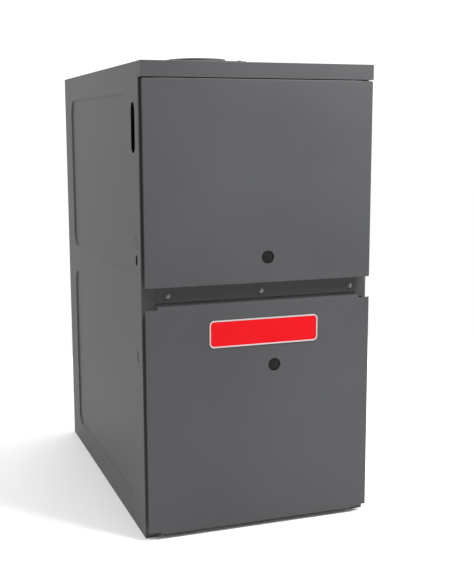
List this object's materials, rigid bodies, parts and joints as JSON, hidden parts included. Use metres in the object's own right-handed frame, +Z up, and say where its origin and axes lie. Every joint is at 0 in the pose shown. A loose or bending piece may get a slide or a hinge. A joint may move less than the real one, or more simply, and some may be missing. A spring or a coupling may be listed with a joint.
{
  "type": "forced air gas furnace",
  "caption": "Upflow warm-air gas furnace: sheet steel cabinet with two lift-off doors, burners, serpentine tube heat exchanger, draft inducer, centrifugal blower and controls.",
  "frame": {"origin": "middle of the footprint, on the floor", "axes": "+Z up, the doors face -Y, +X to the right of someone facing the doors"},
  "size_m": [0.45, 0.73, 0.886],
  "materials": {
    "enamel": "semi-gloss dark grey enamel",
    "galvanized": "galvanized sheet",
    "aluminized": "matt aluminized steel",
    "bright_steel": "bright zinc plated",
    "black_paint": "satin black paint",
    "cast_iron": "dark laminated steel",
    "black_plastic": "satin black plastic",
    "red_plate": "gloss red with a pale border",
    "red_plastic": "gloss red plastic",
    "circuit_green": "green circuit board",
    "winding": "varnished winding and core",
    "ceramic": "matt ceramic",
    "foil": "foil faced glass wool",
    "hose_rubber": "black hose"
  },
  "bodies": {
    "cabinet": {"left_side_panel": "enamel", "right_side_panel": "enamel", "back_panel": "enamel", "bottom_pan": "galvanized", "top_panel": "enamel", "top_front_rail": "enamel", "vent_collar": "enamel", "mid_rail": "enamel", "mid_rail_screw_1": "bright_steel", "mid_rail_screw_2": "bright_steel", "mid_rail_screw_3": "bright_steel", "bottom_front_rail": "enamel", "blower_deck": "galvanized", "vestibule_panel": "aluminized", "insulation_liner": "foil", "heat_tube_1": "aluminized", "heat_tube_2": "aluminized", "heat_tube_3": "aluminized", "heat_tube_4": "aluminized", "burner_rack": "galvanized", "burner_1": "aluminized", "burner_2": "aluminized", "burner_3": "aluminized", "burner_4": "aluminized", "gas_manifold": "black_paint", "gas_valve": "aluminized", "igniter": "ceramic", "flame_sensor": "ceramic", "rollout_switch": "black_plastic", "limit_switch": "bright_steel", "pressure_switch": "black_plastic", "collector_box": "galvanized", "inducer_housing": "black_paint", "inducer_motor": "cast_iron", "flue_pipe": "galvanized", "pressure_hose": "hose_rubber", "blower_side_left": "galvanized", "blower_side_right": "galvanized", "blower_scroll_wrap": "galvanized", "blower_motor": "black_paint", "motor_mount": "galvanized", "control_tray": "galvanized", "control_board": "circuit_green", "transformer": "winding", "door_switch": "black_plastic", "junction_box": "galvanized", "wire_harness": "black_plastic"},
    "upper_door": {"upper_door": "enamel", "upper_sight_plug": "black_plastic"},
    "lower_door": {"lower_door": "enamel", "lower_sight_plug": "black_plastic", "door_plate": "red_plate"},
    "blower_rotor": {"blower_wheel": "galvanized", "blower_cage": "galvanized", "blower_shaft": "bright_steel"},
    "inducer_rotor": {"inducer_wheel": "aluminized"},
    "valve_knob": {"gas_valve_knob": "red_plastic"},
    "reset_button": {"rollout_reset_button": "red_plastic"},
    "switch_plunger": {"door_switch_plunger": "ceramic"}
  },
  "joints": [
    {"name": "upper_door_pull", "type": "slide", "parent": "cabinet", "child": "upper_door", "axis": [0, -1, 0], "range_m": [0, 0.4]},
    {"name": "lower_door_pull", "type": "slide", "parent": "cabinet", "child": "lower_door", "axis": [0, -1, 0], "range_m": [0, 0.4]},
    {"name": "blower_spin", "type": "hinge", "parent": "cabinet", "child": "blower_rotor", "pos_m": [0, 0.0735, 0.206], "axis": [1, 0, 0], "continuous": true},
    {"name": "inducer_spin", "type": "hinge", "parent": "cabinet", "child": "inducer_rotor", "pos_m": [-0.03, -0.243, 0.737], "axis": [0, 1, 0], "continuous": true},
    {"name": "gas_valve_turn", "type": "hinge", "parent": "cabinet", "child": "valve_knob", "pos_m": [-0.13, -0.34, 0.6338], "axis": [0, -1, 0], "range_deg": [0, 90]},
    {"name": "rollout_reset_press", "type": "slide", "parent": "cabinet", "child": "reset_button", "axis": [0, 0, -1], "range_m": [0, 0.002], "stiffness_N_per_m": 300},
    {"name": "door_switch_travel", "type": "slide", "parent": "cabinet", "child": "switch_plunger", "axis": [0, -1, 0], "range_m": [0, 0.004]}
  ],
  "couplings": [
    {"joint": "door_switch_travel", "follows": "lower_door_pull", "ratio": 0.01}
  ]
}
